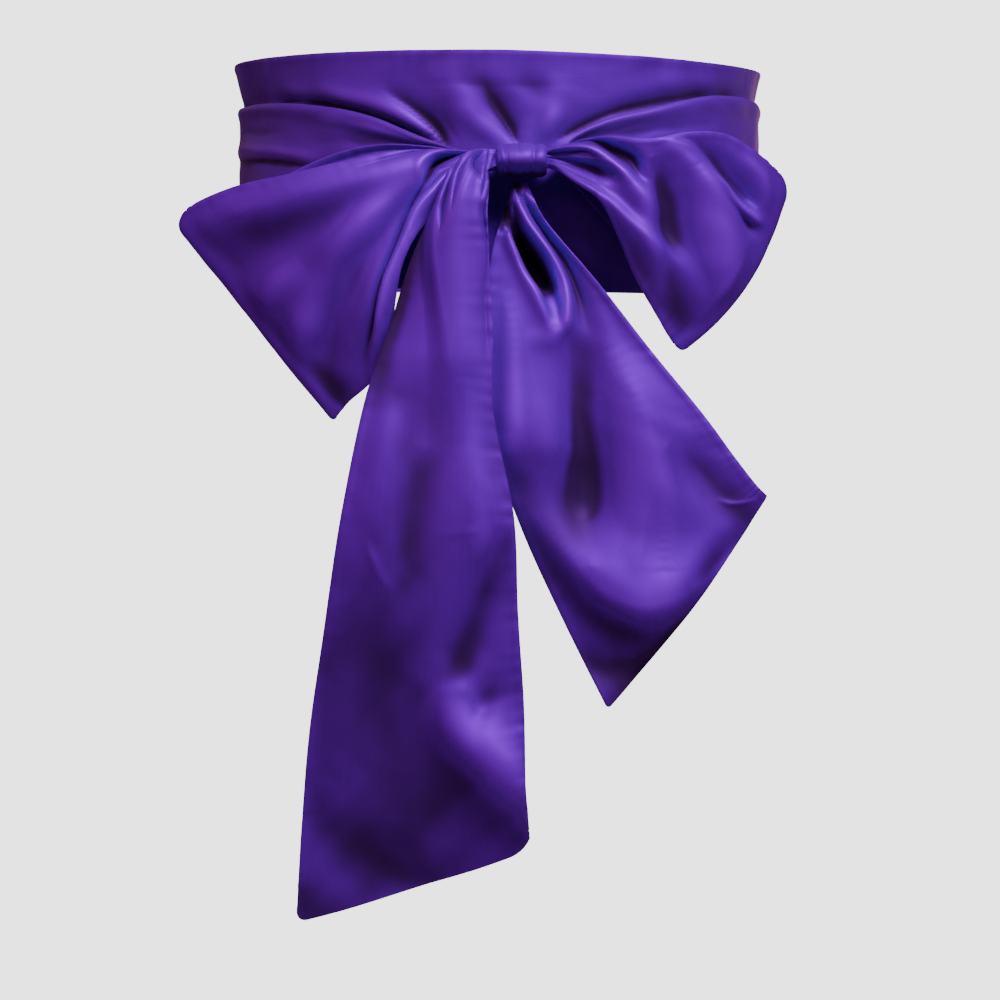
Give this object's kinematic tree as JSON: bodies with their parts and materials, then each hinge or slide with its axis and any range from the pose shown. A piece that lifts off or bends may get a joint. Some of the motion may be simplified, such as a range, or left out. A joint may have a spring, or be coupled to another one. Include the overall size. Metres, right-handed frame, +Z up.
{
  "type": "satin sash",
  "caption": "Wide satin sash wound round the waist and tied in a large front bow, with two hanging tails, held in its worn shape.",
  "frame": {"origin": "middle of the waist, at half the height of the band, where the wearer holds the sash up", "axes": "+Z up the wearer's body, -Y out of the front where the bow is, +X to the right as the bow is looked at"},
  "size_m": [0.3196, 0.2523, 0.4626],
  "materials": {
    "satin_band": "purple satin weave, soft broad sheen",
    "satin_bow": "purple satin weave, soft broad sheen"
  },
  "bodies": {
    "root": {"band_first_turn": "satin_band", "band_second_turn_left": "satin_band", "band_second_turn_right": "satin_band", "bow_loop_left": "satin_bow", "bow_loop_right": "satin_bow", "knot_wrap": "satin_bow", "tail_left": "satin_bow", "tail_right": "satin_bow"}
  },
  "joints": []
}
